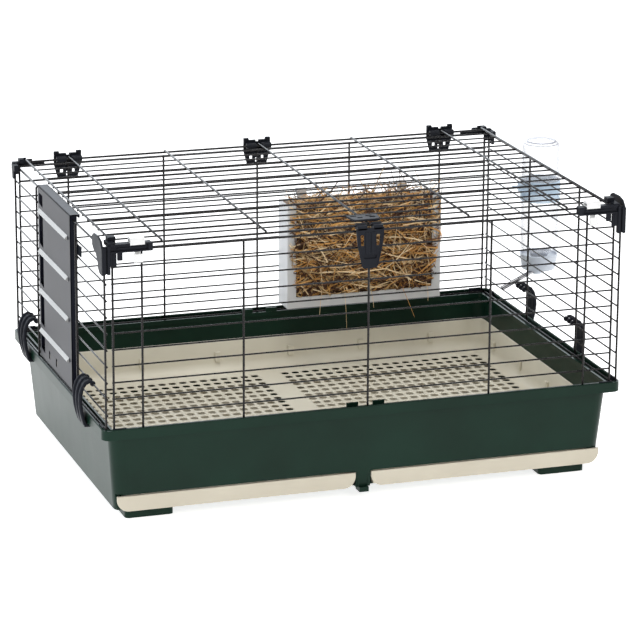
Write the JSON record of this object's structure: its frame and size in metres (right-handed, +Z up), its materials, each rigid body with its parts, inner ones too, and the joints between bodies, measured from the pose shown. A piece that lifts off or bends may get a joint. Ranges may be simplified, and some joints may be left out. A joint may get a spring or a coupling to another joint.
{
  "type": "wire rabbit cage",
  "caption": "Rectangular wire cage on a dark plastic base with front drawers, perforated floor, hinged roof, side ramp door, hay rack and water bottle.",
  "frame": {"origin": "on the floor under the middle of the base, at the centre foot's underside", "axes": "+X along the length towards the bottle end, -Y is the front with the drawers, +Z up"},
  "size_m": [1.0835, 0.6815, 0.53],
  "materials": {
    "green_plastic": "dark green moulded polypropylene, satin",
    "beige_plastic": "beige moulded polypropylene, satin",
    "black_wire": "black coated steel wire",
    "door_plastic": "black moulded plastic, glossy face",
    "black_plastic": "black moulded nylon",
    "white_plastic": "white moulded plastic",
    "frosted_plastic": "milky translucent plastic sheet",
    "hay": "dried grass stems",
    "clear_plastic": "clear blown bottle plastic",
    "pale_blue_plastic": "pale blue-grey translucent cap",
    "holder_plastic": "pale blue translucent strap",
    "seal_rubber": "soft seal",
    "tube_steel": "stainless tube and ball"
  },
  "bodies": {
    "base": {"tub": "green_plastic", "floor_insert": "beige_plastic", "front_panel": "black_wire", "back_panel": "black_wire", "left_panel": "black_wire", "right_panel": "black_wire", "roof_clip_left": "black_plastic", "roof_clip_middle": "black_plastic", "roof_clip_right": "black_plastic", "corner_front_left": "black_plastic", "corner_front_right": "black_plastic", "corner_rear_left": "black_plastic", "corner_rear_right": "black_plastic", "base_corner_front_left": "black_plastic", "base_corner_front_right": "black_plastic", "base_corner_rear_left": "black_plastic", "base_corner_rear_right": "black_plastic"},
    "roof": {"roof_panel": "black_wire", "front_clip_base": "black_plastic"},
    "front_clip": {"front_clip_flap": "black_plastic"},
    "slider_left": {"slider_left": "white_plastic"},
    "slider_right": {"slider_right": "white_plastic"},
    "door": {"side_door": "door_plastic"},
    "latch_front": {"door_latch_front": "black_plastic"},
    "latch_rear": {"door_latch_rear": "black_plastic"},
    "drawer_left": {"drawer_left": "beige_plastic"},
    "drawer_right": {"drawer_right": "beige_plastic"},
    "rack": {"hay_rack": "frosted_plastic", "hay_fill": "hay"},
    "bottle_set": {"bottle_cap": "pale_blue_plastic", "cap_gasket": "seal_rubber", "drinking_tube": "tube_steel", "bottle_holder": "holder_plastic"},
    "bottle": {"bottle_body": "clear_plastic"},
    "ball": {"tube_ball": "tube_steel"},
    "clamp_left_rear": {"side_clamp_left_rear": "black_plastic"},
    "clamp_left_front": {"side_clamp_left_front": "black_plastic"},
    "clamp_right_rear": {"side_clamp_right_rear": "black_plastic"},
    "clamp_right_front": {"side_clamp_right_front": "black_plastic"}
  },
  "joints": [
    {"name": "roof_hinge", "type": "hinge", "parent": "base", "child": "roof", "pos_m": [0, 0.322, 0.5165], "axis": [-1, 0, 0], "range_deg": [0, 105]},
    {"name": "front_clip_hinge", "type": "hinge", "parent": "roof", "child": "front_clip", "pos_m": [0, -0.326, 0.5165], "axis": [-1, 0, 0], "range_deg": [0, 70]},
    {"name": "slider_left_slide", "type": "slide", "parent": "base", "child": "slider_left", "axis": [-1, 0, 0], "range_m": [0, 0.01]},
    {"name": "slider_right_slide", "type": "slide", "parent": "base", "child": "slider_right", "axis": [1, 0, 0], "range_m": [0, 0.01]},
    {"name": "door_hinge", "type": "hinge", "parent": "base", "child": "door", "pos_m": [-0.484, 0, 0.2075], "axis": [0, -1, 0], "range_deg": [0, 130]},
    {"name": "latch_front_slide", "type": "slide", "parent": "door", "child": "latch_front", "axis": [0, -1, 0], "range_m": [0, 0.006]},
    {"name": "latch_rear_slide", "type": "slide", "parent": "door", "child": "latch_rear", "axis": [0, 1, 0], "range_m": [0, 0.006]},
    {"name": "drawer_left_slide", "type": "slide", "parent": "base", "child": "drawer_left", "axis": [0, -1, 0], "range_m": [0, 0.4]},
    {"name": "drawer_right_slide", "type": "slide", "parent": "base", "child": "drawer_right", "axis": [0, -1, 0], "range_m": [0, 0.4]},
    {"name": "rack_lift", "type": "slide", "parent": "base", "child": "rack", "axis": [0, 0, 1], "range_m": [0, 0.018]},
    {"name": "bottle_draw", "type": "slide", "parent": "base", "child": "bottle_set", "axis": [0.9039, 0, 0.4278], "range_m": [0, 0.085]},
    {"name": "bottle_turn", "type": "hinge", "parent": "bottle_set", "child": "bottle", "pos_m": [0.531, 0.162, 0.3], "axis": [0, 0, 1], "continuous": true},
    {"name": "ball_press", "type": "slide", "parent": "bottle_set", "child": "ball", "axis": [0.9039, 0, 0.4278], "range_m": [0, 0.002]},
    {"name": "clamp_left_rear_hinge", "type": "hinge", "parent": "base", "child": "clamp_left_rear", "pos_m": [-0.484, 0.212, 0.2375], "axis": [0, 1, 0], "range_deg": [0, 60]},
    {"name": "clamp_left_front_hinge", "type": "hinge", "parent": "base", "child": "clamp_left_front", "pos_m": [-0.484, -0.207, 0.2375], "axis": [0, 1, 0], "range_deg": [0, 60]},
    {"name": "clamp_right_rear_hinge", "type": "hinge", "parent": "base", "child": "clamp_right_rear", "pos_m": [0.484, 0.134, 0.2375], "axis": [0, -1, 0], "range_deg": [0, 60]},
    {"name": "clamp_right_front_hinge", "type": "hinge", "parent": "base", "child": "clamp_right_front", "pos_m": [0.484, -0.113, 0.2375], "axis": [0, -1, 0], "range_deg": [0, 60]}
  ]
}
